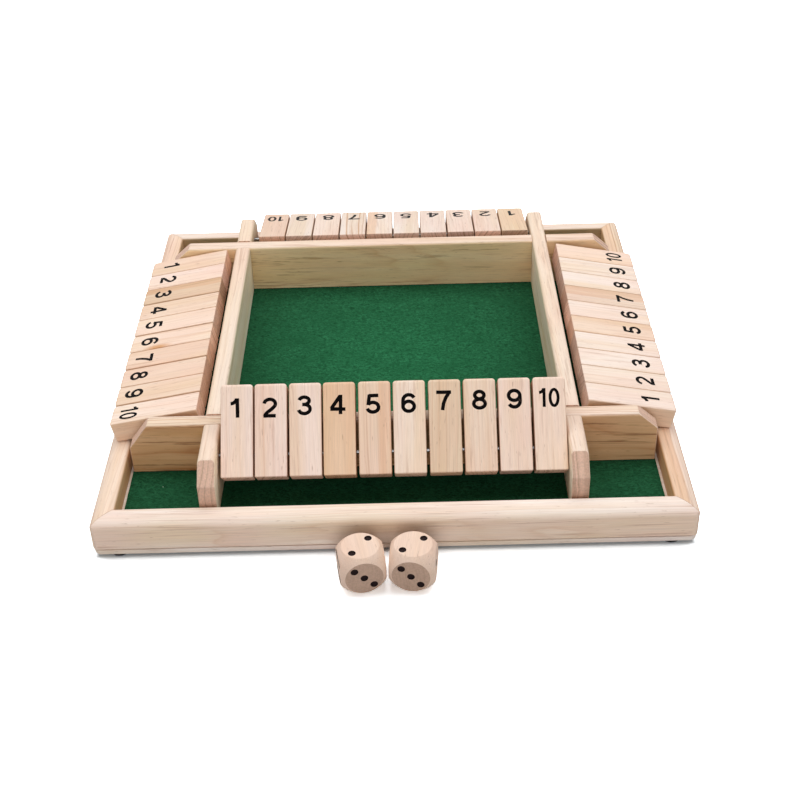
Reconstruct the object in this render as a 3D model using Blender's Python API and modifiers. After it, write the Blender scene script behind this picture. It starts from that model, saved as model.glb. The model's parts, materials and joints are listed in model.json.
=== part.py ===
"""A four-sided shut the box game: a felt-lined tray, a half-lapped wall frame, forty tiles and two dice.

Metres, +Z up, with the table's surface at Z = 0. The origin lies under the middle of the ground that the tray and
its dice cover. Everything that repeats on the four sides is laid out for the front side, in a frame whose X runs
along the side and whose -Y points outwards, and is then turned about the tray's centre.
"""

import math

import bmesh
import bpy
from mathutils import Euler, Matrix, Vector

# Air between pieces that touch, and how far a cutter runs past what it cuts
FIT_GAP = 0.0003
CUT_OVERRUN = 0.002

# Tray: board, felt and rails
FLANGE_THICKNESS = 0.003
FLANGE_INSET = 0.0005
BOARD_RISE = 0.007
FELT_THICKNESS = 0.001
FELT_MARGIN = 0.002
RAIL_WIDTH = 0.0132
RAIL_HEIGHT = 0.0196
RAIL_ROUND_WIDTH = 0.0085
RAIL_ROUND_HEIGHT = 0.0058
RAIL_INNER_ROUND = 0.0017
RAIL_FOOT_EASE = 0.0009
TRAY_CORNER_RADIUS = 0.002

# Feet
FOOT_RADIUS = 0.0055
FOOT_HEIGHT = 0.0025
FOOT_EASE = 0.0006
FOOT_SIDE_INSET = 0.0143
FOOT_FRONT_INSET = 0.0072
FOOT_SIDES = 16

# Wall frame
WALL_THICKNESS = 0.01
WALL_HEIGHT = 0.0336
WALL_EASE = 0.0007
WALL_END_GAP = 0.0023
CHAMFER_RUN = 0.0119
CHAMFER_DROP = 0.0107
STEEP_CHAMFER_DROP = 0.016

# Rods
ROD_RADIUS = 0.001
ROD_BELOW_TOP = 0.0088
ROD_SOCKET_FLOOR = 0.003
ROD_EASE = 0.0002
ROD_SIDES = 12

# Tiles
TILE_WIDTH = 0.0186
TILE_LENGTH = 0.054
TILE_THICKNESS = 0.0132
TILE_TAIL = 0.014
TILE_CORNER_RADIUS = 0.0015
TILE_TAIL_CORNER = 0.0006
TILE_EASE = 0.0005
NARROW_END_GAP = 0.0005
LOOSE_END_GAP = 0.0018
TIGHT_TILE_GAP = 0.00046
TAIL_CLEARANCE = 0.003
TILE_END_MARGIN = 0.0022
TILES_IN_ROW = 10

# Dice
DIE_SIZE = 0.025
DIE_BALL_RADIUS = 0.0167
PIP_RADIUS = 0.0021
PIP_DEPTH = 0.0011
PIP_OFFSET = 0.0055
DICE_SPACING = 0.0008
DICE_TRAY_GAP = 0.0081
DICE_MIDDLE_X = -0.004
DIE_TURNS = {"left": math.radians(9.6), "right": math.radians(-7.5)}
PIP_SIDES = 8
BALL_SEGMENTS = 28
BALL_RINGS = 14

SIDES = ("front", "right", "back", "left")
ROUND_STEPS = 4
WELD_DISTANCE = 1e-7

# Which wall runs unbroken on top where one side's wall meets the next: front and right, right and back, and so on
TOP_WALLS = ("front", "right", "back", "front")

# The rows that lean in, and how each row shares its play among the gaps between its tiles
LEANING_ROWS = ("front",)
GAP_SHARES = {
    "front": (0.8, 1.1, 0.8, 1.5, 1.2, 1.6, 1.3, 1.2, 1.3),
    "right": (1.0, 0.95, 1.05, 1.0, 0.95, 1.05, 1.0, 0.95, 1.05),
    "back": (0.9, 1.1, 1.2, 1.1, 1.1, 0.9, 0.9, 0.9, 0.9),
    "left": (0.6, 0.6, 1.3, 0.6, 1.5, 0.7, 1.4, 0.6, 1.4),
}

# Pip layouts as shares of the pip offset, on a face seen with its X to the right and its Y up
PIP_SHARES = {
    1: ((0, 0),),
    2: ((-1, -1), (1, 1)),
    3: ((-1, 1), (0, 0), (1, -1)),
    4: ((-1, -1), (-1, 1), (1, -1), (1, 1)),
    5: ((-1, -1), (-1, 1), (0, 0), (1, -1), (1, 1)),
    6: ((-1, -1), (-1, 0), (-1, 1), (1, -1), (1, 0), (1, 1)),
}
DIE_FACES = {
    2: Euler((0, 0, 0)),
    5: Euler((math.pi, 0, 0)),
    3: Euler((math.pi / 2, 0, 0)),
    4: Euler((-math.pi / 2, 0, 0)),
    1: Euler((0, math.pi / 2, 0)),
    6: Euler((0, -math.pi / 2, 0)),
}

# Linear colour, roughness and metallic value of each finish
FINISHES = {
    "pine_rail": ((0.84, 0.68, 0.51), 0.55, 0),
    "pine_wall": ((0.80, 0.64, 0.45), 0.55, 0),
    "pine_board": ((0.82, 0.70, 0.54), 0.6, 0),
    "pine_pale": ((0.83, 0.70, 0.55), 0.55, 0),
    "pine_pink": ((0.84, 0.64, 0.51), 0.55, 0),
    "pine_tan": ((0.79, 0.54, 0.32), 0.55, 0),
    "felt_green": ((0.008, 0.12, 0.04), 0.95, 0),
    "bright_steel": ((0.57, 0.57, 0.57), 0.25, 1),
    "black_rubber": ((0.004, 0.004, 0.004), 0.8, 0),
    "beech_die": ((0.77, 0.55, 0.38), 0.5, 0),
}
TILE_FINISHES = ("pine_pink", "pine_pale", "pine_pale", "pine_tan", "pine_pink", "pine_pale", "pine_pink")


def arc(centre, radius_x, radius_z, start, end, steps):
    """Points along an elliptic arc, both ends included."""
    angles = [start + (end - start) * step / steps for step in range(steps + 1)]
    return [(centre[0] + radius_x * math.cos(a), centre[1] + radius_z * math.sin(a)) for a in angles]


def rail_outline():
    """Rail section as (distance in from the outer face, height above the rail's bottom), round the crown."""
    crown = arc((RAIL_ROUND_WIDTH, RAIL_HEIGHT - RAIL_ROUND_HEIGHT), RAIL_ROUND_WIDTH, RAIL_ROUND_HEIGHT,
                math.pi, math.pi / 2, ROUND_STEPS + 2)
    inner = arc((RAIL_WIDTH - RAIL_INNER_ROUND, RAIL_HEIGHT - RAIL_INNER_ROUND), RAIL_INNER_ROUND,
                RAIL_INNER_ROUND, math.pi / 2, 0, ROUND_STEPS - 1)
    return [(RAIL_FOOT_EASE, 0), (0, RAIL_FOOT_EASE)] + crown + inner + [(RAIL_WIDTH, 0)]


def touching_tilt(bearings):
    """Tilt from upright at which a tile's face first comes within the fit gap of a point (out, up) from its rod."""
    reach = TILE_THICKNESS / 2 + FIT_GAP
    return min(math.atan2(out, up) - math.asin(reach / math.hypot(out, up)) for out, up in bearings)


def overhang_past_wall(tilt):
    """How far the lower edge of a leaning tile's end reaches past the inner face of the wall it leans on."""
    half = TILE_THICKNESS / 2
    eased_edge = ((TILE_REACH, half - TILE_EASE), (TILE_REACH - TILE_EASE, half))
    furthest = max(along * math.sin(tilt) + across * math.cos(tilt) for along, across in eased_edge)
    return furthest - ROD_STANDOFF - WALL_THICKNESS


# A tile reaches this far from its rod, and the rod stands off its wall so that the tile's tail swings past it
TILE_REACH = TILE_LENGTH - TILE_TAIL
ROD_STANDOFF = math.hypot(TILE_TAIL, TILE_THICKNESS / 2) + TAIL_CLEARANCE

# A leaning tile rests on the eased top edge of its wall
LEAN_TILT = touching_tilt([
    (ROD_STANDOFF, ROD_BELOW_TOP - WALL_EASE),
    (ROD_STANDOFF + WALL_EASE, ROD_BELOW_TOP),
])

# At each corner of the well one of the two rows keeps back by this much, so that both can lean in
WIDE_END_GAP = max(overhang_past_wall(LEAN_TILT), 0) + FIT_GAP

# The gaps between a row's end tiles and the walls that hold its rod, at its start and at its far end
END_GAPS = {
    "front": (LOOSE_END_GAP, NARROW_END_GAP),
    "right": (WIDE_END_GAP, WIDE_END_GAP),
    "back": (LOOSE_END_GAP, WIDE_END_GAP),
    "left": (LOOSE_END_GAP, WIDE_END_GAP),
}

# Heights, from the table up
BOARD_BOTTOM = FOOT_HEIGHT + FIT_GAP
FLANGE_TOP = BOARD_BOTTOM + FLANGE_THICKNESS
BOARD_TOP = FLANGE_TOP + BOARD_RISE
FELT_BOTTOM = BOARD_TOP + FIT_GAP
FELT_TOP = FELT_BOTTOM + FELT_THICKNESS
RAIL_BOTTOM = FLANGE_TOP + FIT_GAP
WALL_BOTTOM = FELT_TOP + FIT_GAP
WALL_TOP = WALL_BOTTOM + WALL_HEIGHT
ROD_Z = WALL_TOP - ROD_BELOW_TOP

# The well holds the tightest row, which keeps back at both ends
WELL_SIDE = TILES_IN_ROW * TILE_WIDTH + (TILES_IN_ROW - 1) * TIGHT_TILE_GAP + 2 * WIDE_END_GAP

# Distances from the tray's centre: a tile that lay level would end just inside the tray's outer face
WALL_INNER = WELL_SIDE / 2
WALL_MIDDLE = WALL_INNER + WALL_THICKNESS / 2
WALL_OUTER = WALL_INNER + WALL_THICKNESS
ROD_DISTANCE = WALL_OUTER + ROD_STANDOFF
RAIL_OUTER = ROD_DISTANCE + TILE_REACH + TILE_END_MARGIN
RAIL_INNER = RAIL_OUTER - RAIL_WIDTH
WALL_END = RAIL_INNER - WALL_END_GAP

# A tile that lies out rests on the rounded top of its rail
LIE_TILT = touching_tilt([
    (RAIL_OUTER - inward - ROD_DISTANCE, RAIL_BOTTOM + height - ROD_Z)
    for inward, height in rail_outline() if height > RAIL_HEIGHT / 2
])

# Bores clear the round piece by the fit gap where their flats are nearest
ROD_BORE_RADIUS = (ROD_RADIUS + FIT_GAP) / math.cos(math.pi / ROD_SIDES)


def die_reach(turn):
    """Half the width of a turned die: it ends at the rim of a flat face's disc."""
    half = DIE_SIZE / 2
    disc = math.sqrt(DIE_BALL_RADIUS ** 2 - half ** 2)
    return half * math.cos(turn) + disc * abs(math.sin(turn))


# The dice reach out in front, so the tray sits that much further back
DICE_FRONT = RAIL_OUTER + DICE_TRAY_GAP + 2 * max(die_reach(turn) for turn in DIE_TURNS.values())
TRAY_CENTRE = Vector((0, (DICE_FRONT - RAIL_OUTER) / 2, 0))


def clear_scene():
    for obj in list(bpy.data.objects):
        bpy.data.objects.remove(obj, do_unlink=True)


def add_collection(name):
    collection = bpy.data.collections.new(name)
    bpy.context.scene.collection.children.link(collection)
    return collection


def finish(name):
    """The material of that name, made the first time it is asked for."""
    material = bpy.data.materials.get(name)
    if material is None:
        colour, roughness, metallic = FINISHES[name]
        material = bpy.data.materials.new(name)
        material.use_nodes = True
        shader = material.node_tree.nodes["Principled BSDF"]
        shader.inputs["Base Color"].default_value = (*colour, 1)
        shader.inputs["Roughness"].default_value = roughness
        shader.inputs["Metallic"].default_value = metallic
    return material


def add_piece(name, mesh, finish_name, location=(0, 0, 0), rotation=(0, 0, 0), parent=None):
    """One named sub-part in the game's collection."""
    obj = bpy.data.objects.new(name, mesh)
    game.objects.link(obj)
    obj.location = location
    obj.rotation_euler = rotation
    obj.parent = parent
    if not mesh.materials:
        mesh.materials.append(finish(finish_name))
    obj.material_slots[0].link = "OBJECT"
    obj.material_slots[0].material = finish(finish_name)
    return obj


def add_cutter(name, mesh, location=(0, 0, 0), rotation=(0, 0, 0), parent=None):
    """A shape that only cuts: never rendered, shown as wire."""
    obj = bpy.data.objects.new(name, mesh)
    cutters.objects.link(obj)
    obj.location = location
    obj.rotation_euler = rotation
    obj.parent = parent
    obj.hide_render = True
    obj.display_type = "WIRE"
    return obj


def apply_boolean(obj, cutter, operation="DIFFERENCE"):
    boolean = obj.modifiers.new(cutter.name, "BOOLEAN")
    boolean.operation = operation
    boolean.solver = "EXACT"
    boolean.object = cutter


def to_mesh(bm, name, smooth_angle=None):
    bmesh.ops.recalc_face_normals(bm, faces=bm.faces)
    mesh = bpy.data.meshes.new(name)
    bm.to_mesh(mesh)
    bm.free()
    if smooth_angle is not None:
        mesh.shade_smooth()
        mesh.set_sharp_from_angle(angle=smooth_angle)
    return mesh


def evaluated_mesh(obj, name):
    """The mesh that an object's modifiers make, for copies that share it."""
    depsgraph = bpy.context.evaluated_depsgraph_get()
    mesh = bpy.data.meshes.new_from_object(obj.evaluated_get(depsgraph))
    mesh.name = name
    return mesh


def turned(side, point):
    """A point laid out for the front side, moved to the named side of the tray."""
    turn = Matrix.Rotation(SIDES.index(side) * math.pi / 2, 4, "Z")
    return TRAY_CENTRE + turn @ Vector(point)


def side_turn(side):
    return (0, 0, SIDES.index(side) * math.pi / 2)


def prism(outline, depth):
    """A flat (x, z) outline thickened by depth along Y, half to each side."""
    bm = bmesh.new()
    face = bm.faces.new([bm.verts.new((x, -depth / 2, z)) for x, z in outline])
    side = bmesh.ops.extrude_face_region(bm, geom=[face])["geom"]
    moved = [part for part in side if isinstance(part, bmesh.types.BMVert)]
    bmesh.ops.translate(bm, verts=moved, vec=(0, depth, 0))
    return bm


def ease_rims(bm, width, keep_sharp=lambda middle: False):
    """Break the edges round both flat sides of a prism, but for those whose middle is to stay sharp."""
    rims = []
    for edge in bm.edges:
        first, second = edge.verts
        middle = (first.co + second.co) / 2
        if abs(first.co.y - second.co.y) < WELD_DISTANCE and not keep_sharp(middle):
            rims.append(edge)
    bmesh.ops.bevel(bm, geom=rims, offset=width, segments=1, affect="EDGES", clamp_overlap=True)


def cylinder(radius, length, sides):
    """A cylinder along Y, with a flat of its wall facing straight up and down."""
    bm = bmesh.new()
    turn = Matrix.Rotation(math.pi / 2, 4, "X") @ Matrix.Rotation(math.pi / sides, 4, "Z")
    bmesh.ops.create_cone(bm, cap_ends=True, segments=sides, radius1=radius, radius2=radius, depth=length,
                          matrix=turn)
    return bm


def turned_solid(name, profile, sides, finish_name, location, rotation=(0, 0, 0)):
    """A profile of (radius, height) points, from top to bottom, screwed round the local Z axis."""
    bm = bmesh.new()
    points = [bm.verts.new((radius, 0, height)) for radius, height in profile]
    for above, below in zip(points, points[1:]):
        bm.edges.new((above, below))
    mesh = bpy.data.meshes.new(name)
    bm.to_mesh(mesh)
    bm.free()
    obj = add_piece(name, mesh, finish_name, location, rotation)
    screw = obj.modifiers.new("turn", "SCREW")
    screw.steps = sides
    screw.render_steps = sides
    screw.use_merge_vertices = True
    screw.merge_threshold = WELD_DISTANCE
    screw.use_smooth_shade = True
    return obj


def is_flange_corner(edge, raised_half):
    """Whether an edge of the board is one of the four upright ones of its flange."""
    first, second = (vert.co for vert in edge.verts)
    return first.xy == second.xy and abs(first.x) > raised_half


def build_base_board():
    """One board: a thin flange under the rails and a raised centre that carries the felt."""
    flange_half = RAIL_OUTER - FLANGE_INSET
    raised_half = RAIL_INNER - FIT_GAP
    bm = bmesh.new()
    size = Matrix.Diagonal((2 * flange_half, 2 * flange_half, FLANGE_THICKNESS, 1))
    bmesh.ops.create_cube(bm, size=1, matrix=size)
    top = max(bm.faces, key=lambda face: face.calc_center_median().z)
    bmesh.ops.inset_region(bm, faces=[top], thickness=flange_half - raised_half, use_even_offset=True)
    raised = bmesh.ops.extrude_face_region(bm, geom=[top])["geom"]
    bmesh.ops.delete(bm, geom=[top], context="FACES_ONLY")
    moved = [part for part in raised if isinstance(part, bmesh.types.BMVert)]
    bmesh.ops.translate(bm, verts=moved, vec=(0, 0, BOARD_RISE))
    corners = [edge for edge in bm.edges if is_flange_corner(edge, raised_half)]
    bmesh.ops.bevel(bm, geom=corners, offset=TRAY_CORNER_RADIUS, segments=2, profile=0.5, affect="EDGES")
    middle = BOARD_BOTTOM + FLANGE_THICKNESS / 2
    add_piece("base_board", to_mesh(bm, "base_board"), "pine_board", TRAY_CENTRE + Vector((0, 0, middle)))


def build_felt():
    """A square of felt that stops a little short of the rails, so that a strip of board shows round it."""
    side = 2 * (RAIL_INNER - FELT_MARGIN)
    bm = bmesh.new()
    bmesh.ops.create_cube(bm, size=1, matrix=Matrix.Diagonal((side, side, FELT_THICKNESS, 1)))
    middle = FELT_BOTTOM + FELT_THICKNESS / 2
    add_piece("felt_lining", to_mesh(bm, "felt_lining"), "felt_green", TRAY_CENTRE + Vector((0, 0, middle)))


def slice_off(bm, point, normal):
    """Cut away what lies beyond a plane and close the cut."""
    everything = list(bm.verts) + list(bm.edges) + list(bm.faces)
    cut = bmesh.ops.bisect_plane(bm, geom=everything, plane_co=point, plane_no=normal, clear_outer=True)
    rim = [part for part in cut["geom_cut"] if isinstance(part, bmesh.types.BMEdge)]
    bmesh.ops.edgeloop_fill(bm, edges=rim)


def rail_mesh():
    """A moulded rail along Y with its outer face at +X, mitred at both ends, the tray's corner rounded."""
    outline = [(RAIL_OUTER - inward, height) for inward, height in rail_outline()]
    bm = prism(outline, 2 * (RAIL_OUTER + CUT_OVERRUN))
    setback = FIT_GAP * math.sqrt(0.5)
    corner = RAIL_OUTER - TRAY_CORNER_RADIUS
    tangent = math.radians(30)
    for end in (-1, 1):
        slice_off(bm, (setback, 0, 0), (-1, end, 0))
        touch_x = corner + TRAY_CORNER_RADIUS * math.cos(tangent)
        touch_y = corner + TRAY_CORNER_RADIUS * math.sin(tangent)
        slice_off(bm, (touch_x, end * touch_y, 0), (math.cos(tangent), end * math.sin(tangent), 0))
    return to_mesh(bm, "rail", smooth_angle=math.radians(35))


def build_rails():
    for side in SIDES:
        facing = (0, 0, (SIDES.index(side) - 1) * math.pi / 2)
        rail = rail_mesh()
        add_piece(f"rail_{side}", rail, "pine_rail", TRAY_CENTRE + Vector((0, 0, RAIL_BOTTOM)), facing)


def is_top_wall(side, end):
    """Whether this side's wall runs on top at the crossing by its start (end = -1) or its far end (end = 1)."""
    index = SIDES.index(side)
    crossing = index if end > 0 else index - 1
    return TOP_WALLS[crossing] == side


def lap_notch(side, end):
    """The three-sided notch, in the order of a wall's outline, that makes room for the crossing wall."""
    half = WALL_THICKNESS / 2 + FIT_GAP
    on_top = is_top_wall(side, end)
    depth = (WALL_HEIGHT - FIT_GAP) / 2 if not on_top else (WALL_HEIGHT + FIT_GAP) / 2
    mouth = 0 if on_top else WALL_HEIGHT
    floor = depth if on_top else WALL_HEIGHT - (WALL_HEIGHT + FIT_GAP) / 2
    middle = end * WALL_MIDDLE
    return on_top, [(middle - half, mouth), (middle - half, floor), (middle + half, floor), (middle + half, mouth)]


def wall_outline(side):
    """A wall's side view: bottom edge from left to right, right end, top edge back, left end."""
    start_drop = STEEP_CHAMFER_DROP if side == "front" else CHAMFER_DROP
    below = []
    above = []
    for end in (-1, 1):
        on_top, notch = lap_notch(side, end)
        if on_top:
            below += notch
        else:
            above = notch[::-1] + above
    right_end = [(WALL_END, 0), (WALL_END, WALL_HEIGHT - CHAMFER_DROP), (WALL_END - CHAMFER_RUN, WALL_HEIGHT)]
    left_end = [(CHAMFER_RUN - WALL_END, WALL_HEIGHT), (-WALL_END, WALL_HEIGHT - start_drop), (-WALL_END, 0)]
    return below + right_end + above + left_end


def wall_mesh(side):
    """A wall in its own frame: X along it, Z up from its bottom edge."""
    bm = prism(wall_outline(side), WALL_THICKNESS)
    lap_half = WALL_THICKNESS / 2 + FIT_GAP + WELD_DISTANCE

    def in_lap(middle):
        return abs(abs(middle.x) - WALL_MIDDLE) < lap_half

    ease_rims(bm, WALL_EASE, keep_sharp=in_lap)
    return to_mesh(bm, f"wall_{side}")


def build_walls():
    """Four walls, with blind bores in the inner sides of their protruding ends for the rods that they carry."""
    depth = WALL_THICKNESS - ROD_SOCKET_FLOOR
    bore = to_mesh(cylinder(ROD_BORE_RADIUS, 2 * depth, ROD_SIDES), "rod_bore")
    for side in SIDES:
        place = turned(side, (0, -WALL_MIDDLE, WALL_BOTTOM))
        wall = add_piece(f"wall_{side}", wall_mesh(side), "pine_wall", place, side_turn(side))
        for end in (-1, 1):
            centre = turned(side, (end * ROD_DISTANCE, -WALL_INNER, ROD_Z))
            cutter = add_cutter(f"bore_{side}_{'far' if end > 0 else 'near'}", bore, centre, side_turn(side))
            apply_boolean(wall, cutter)


def build_rods():
    """A steel rod along each row, held in the blind bores of two walls."""
    half = WALL_OUTER - ROD_SOCKET_FLOOR - FIT_GAP
    profile = [
        (0, half),
        (ROD_RADIUS - ROD_EASE, half),
        (ROD_RADIUS, half - ROD_EASE),
        (ROD_RADIUS, ROD_EASE - half),
        (ROD_RADIUS - ROD_EASE, -half),
        (0, -half),
    ]
    for side in SIDES:
        along = (0, math.pi / 2, side_turn(side)[2])
        centre = turned(side, (0, -ROD_DISTANCE, ROD_Z))
        turned_solid(f"pivot_rod_{side}", profile, ROD_SIDES, "bright_steel", centre, along)


def build_feet():
    """Rubber feet under the board's corners."""
    profile = [
        (0, FOOT_HEIGHT),
        (FOOT_RADIUS, FOOT_HEIGHT),
        (FOOT_RADIUS, FOOT_EASE),
        (FOOT_RADIUS - FOOT_EASE, 0),
        (0, 0),
    ]
    side_distance = RAIL_OUTER - FOOT_SIDE_INSET
    front_distance = RAIL_OUTER - FOOT_FRONT_INSET
    corners = {"front_left": (-1, -1), "front_right": (1, -1), "back_right": (1, 1), "back_left": (-1, 1)}
    for name, (x_sign, y_sign) in corners.items():
        place = TRAY_CENTRE + Vector((x_sign * side_distance, y_sign * front_distance, 0))
        turned_solid(f"foot_{name}", profile, FOOT_SIDES, "black_rubber", place)


def tile_mesh():
    """A tile standing upright on its rod: X across, Z towards the numbered end, the bore through its origin."""
    half = TILE_WIDTH / 2
    top = TILE_REACH
    corner = TILE_CORNER_RADIUS
    tail_corner = TILE_TAIL_CORNER
    right = arc((half - corner, top - corner), corner, corner, 0, math.pi / 2, 2)
    left = arc((corner - half, top - corner), corner, corner, math.pi / 2, math.pi, 2)
    tail = [
        (-half, tail_corner - TILE_TAIL),
        (tail_corner - half, -TILE_TAIL),
        (half - tail_corner, -TILE_TAIL),
        (half, tail_corner - TILE_TAIL),
    ]
    bm = prism(right + left + tail, TILE_THICKNESS)
    ease_rims(bm, TILE_EASE)
    blank = add_cutter("tile_blank", to_mesh(bm, "tile_blank"))
    bore = to_mesh(cylinder(ROD_BORE_RADIUS, TILE_WIDTH + 2 * CUT_OVERRUN, ROD_SIDES), "tile_bore")
    cutter = add_cutter("tile_bore", bore, rotation=(0, 0, math.pi / 2))
    apply_boolean(blank, cutter)
    mesh = evaluated_mesh(blank, "tile")
    bpy.data.objects.remove(blank)
    bpy.data.objects.remove(cutter)
    return mesh


def tile_places(side):
    """Middle of each tile of a row along its rod, from the row's start."""
    start_gap, end_gap = END_GAPS[side]
    play = WELL_SIDE - TILES_IN_ROW * TILE_WIDTH - start_gap - end_gap
    shares = GAP_SHARES[side]
    edge = start_gap - WALL_INNER
    places = [edge + TILE_WIDTH / 2]
    for share in shares:
        places.append(places[-1] + TILE_WIDTH + play * share / sum(shares))
    return places


def build_rows():
    """Ten tiles on each rod, each with its origin on the rod's axis."""
    mesh = tile_mesh()
    for row, side in enumerate(SIDES):
        axis = bpy.data.objects.new(f"axis_{side}", None)
        game.objects.link(axis)
        axis.location = turned(side, (0, -ROD_DISTANCE, ROD_Z))
        axis.rotation_euler = side_turn(side)
        tilt = -LEAN_TILT if side in LEANING_ROWS else LIE_TILT
        for index, place in enumerate(tile_places(side)):
            name = f"tile_{side}_{index + 1:02d}"
            tone = TILE_FINISHES[(index + 2 * row) % len(TILE_FINISHES)]
            add_piece(name, mesh, tone, (place, 0, 0), (tilt, 0, 0), axis)


def pips_mesh():
    """All the pips of a die as short drills that stand in its faces."""
    bm = bmesh.new()
    length = PIP_DEPTH + CUT_OVERRUN
    middle = DIE_SIZE / 2 - PIP_DEPTH + length / 2
    for count, turn in DIE_FACES.items():
        for share_x, share_y in PIP_SHARES[count]:
            place = Matrix.Translation((share_x * PIP_OFFSET, share_y * PIP_OFFSET, middle))
            bmesh.ops.create_cone(bm, cap_ends=True, segments=PIP_SIDES, radius1=PIP_RADIUS,
                                  radius2=PIP_RADIUS, depth=length, matrix=turn.to_matrix().to_4x4() @ place)
    return to_mesh(bm, "pips")


def die_mesh():
    """A cube turned down to a ball at its corners, so each face is left as a disc, with drilled pips."""
    cube = bmesh.new()
    bmesh.ops.create_cube(cube, size=DIE_SIZE)
    blank = add_cutter("die_blank", to_mesh(cube, "die_blank"))
    ball = bmesh.new()
    bmesh.ops.create_uvsphere(ball, u_segments=BALL_SEGMENTS, v_segments=BALL_RINGS, radius=DIE_BALL_RADIUS)
    ball_cutter = add_cutter("die_ball", to_mesh(ball, "die_ball"))
    pip_cutter = add_cutter("die_pips", pips_mesh())
    apply_boolean(blank, ball_cutter, "INTERSECT")
    apply_boolean(blank, pip_cutter)
    mesh = evaluated_mesh(blank, "die")
    for helper in (blank, ball_cutter, pip_cutter):
        bpy.data.objects.remove(helper)
    mesh.shade_smooth()
    mesh.set_sharp_from_angle(angle=math.radians(25))
    return mesh


def build_dice():
    """Two dice on the table in front of the tray, side by side and turned a little."""
    mesh = die_mesh()
    for name, direction in (("left", -1), ("right", 1)):
        turn = DIE_TURNS[name]
        reach = die_reach(turn)
        x = DICE_MIDDLE_X + direction * (reach + DICE_SPACING / 2)
        y = -(RAIL_OUTER + DICE_TRAY_GAP + reach)
        place = TRAY_CENTRE + Vector((x, y, DIE_SIZE / 2))
        add_piece(f"die_{name}", mesh, "beech_die", place, (0, 0, turn))


clear_scene()
game = add_collection("shut_the_box_game")
cutters = add_collection("cutters")
build_base_board()
build_felt()
build_rails()
build_walls()
build_rods()
build_feet()
build_rows()
build_dice()
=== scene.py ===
import json
import math
import random

import bmesh
import bpy
from mathutils import Euler, Matrix, Vector, noise


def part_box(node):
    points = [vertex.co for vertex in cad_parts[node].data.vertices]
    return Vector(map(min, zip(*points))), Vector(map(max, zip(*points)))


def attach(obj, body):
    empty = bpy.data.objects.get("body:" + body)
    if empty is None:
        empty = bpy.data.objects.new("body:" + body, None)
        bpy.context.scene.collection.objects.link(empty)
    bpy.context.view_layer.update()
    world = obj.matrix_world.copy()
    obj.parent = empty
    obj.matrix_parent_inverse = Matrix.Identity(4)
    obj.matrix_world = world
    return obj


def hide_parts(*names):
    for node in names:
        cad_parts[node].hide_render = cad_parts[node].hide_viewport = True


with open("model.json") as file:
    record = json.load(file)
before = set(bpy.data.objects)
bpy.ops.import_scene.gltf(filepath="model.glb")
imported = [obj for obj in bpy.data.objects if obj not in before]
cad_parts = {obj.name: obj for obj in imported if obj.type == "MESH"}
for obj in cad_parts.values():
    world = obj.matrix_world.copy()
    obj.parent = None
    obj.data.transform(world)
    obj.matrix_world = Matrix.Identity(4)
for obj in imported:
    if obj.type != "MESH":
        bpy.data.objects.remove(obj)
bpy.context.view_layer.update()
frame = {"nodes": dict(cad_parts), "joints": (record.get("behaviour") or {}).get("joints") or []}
nodes = frame["nodes"]
hinges = {joint["child"]: joint for joint in frame["joints"] if joint["type"] == "hinge"}

MM = 0.001

# Camera, fitted to the photograph's edges, for a frame of 800 by 800: its place from under the tray's middle
CAMERA_PLACE = (0.00992, -0.74135, 0.51161)
CAMERA_TURN = (54.53, 1.385, -0.517)
CAMERA_LENS = 60.66
CAMERA_SENSOR = 36

# Each lamp's place, what it points at, its width and depth, and its power in watts
LAMPS = {
    "overhead": ((0.0, 0.36, 1.45), (0, 0, 0), (4.0, 1.4), 33.5),
    "front_fill": ((0.0, -1.7, 0.6), (0, -0.1, 0), (1.2, 1.2), 9.2),
}

# The world's strength as a light and as the camera sees it
WORLD_LIGHT = 0.16
WORLD_SEEN = 1.0

# The floor's shade in bounced light, in gloss and glass, and to the camera in the open; under the tray, a
# painted shadow
FLOOR_BOUNCE = 0.6
FLOOR_MIRRORED = 0.95
FLOOR_SEEN = 2.2
FLOOR_TONE = (0.92, 0.97, 1.0, 1)
# Painted shadow: to the camera the floor under the tray is this dark, blending in over this width at the
# tray's edge
FLOOR_PAINTED_SHADOW_UNDER_TRAY = 0.9
FLOOR_PAINTED_SHADOW_BLEND = 2 * MM
FLOOR_RADIUS = 1.4
FLOOR_SIDES = 96

SIDES = ("front", "right", "back", "left")
TILES_IN_ROW = 10

# Which wall runs unbroken on top where the front's meets the right's, the right's the back's, and so on
TOP_WALLS = ("front", "right", "back", "front")

# Faces that meet at more than this many degrees are shaded as a sharp edge
SHARP_ANGLE = 32

# Rails
RAIL_ROUND_WIDTH = 8.5 * MM
RAIL_ROUND_HEIGHT = 5.8 * MM
RAIL_INNER_ROUND = 1.7 * MM
RAIL_FOOT_ROUND = 1.6 * MM
CORNER_RADIUS = 4.5 * MM
CORNER_CUTS = (7.5, 15, 22.5, 30, 37.5)
MITRE_GAP = 0.16 * MM

# How far a cut shape or a cutter reaches past the cut
OVERRUN = 3.0 * MM

# Base board
FLANGE_THICKNESS = 3.0 * MM
BOARD_EASE = 0.35 * MM

# Walls
CHAMFER_RUN = 11.9 * MM
CHAMFER_DROP = 10.7 * MM
STEEP_CHAMFER_DROP = 16.0 * MM
LAP_GAP = 0.16 * MM
WALL_ROUND = 2.0 * MM
WALL_END_ROUND = 0.7 * MM

# Rods and feet
ROD_SIDES = 32
ROD_END_ROUND = 0.35 * MM
ROD_BORE_GAP = 0.2 * MM
BORE_SIDES = 24
FOOT_SIDES = 40
FOOT_ROUND = 0.9 * MM
FOOT_TOP_ROUND = FOOT_ROUND / 2

# Tiles and their stamped numbers
TILE_CORNER_RADIUS = 1.9 * MM
TILE_TAIL_CORNER = 0.9 * MM
TILE_RIM_ROUND = 0.85 * MM
TILE_NOSE_ROUND = 1.8 * MM
TILE_TAIL_ROUND = 0.7 * MM
RIM_STEPS = 5
DIGIT_DEPTH = 0.14 * MM

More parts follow.
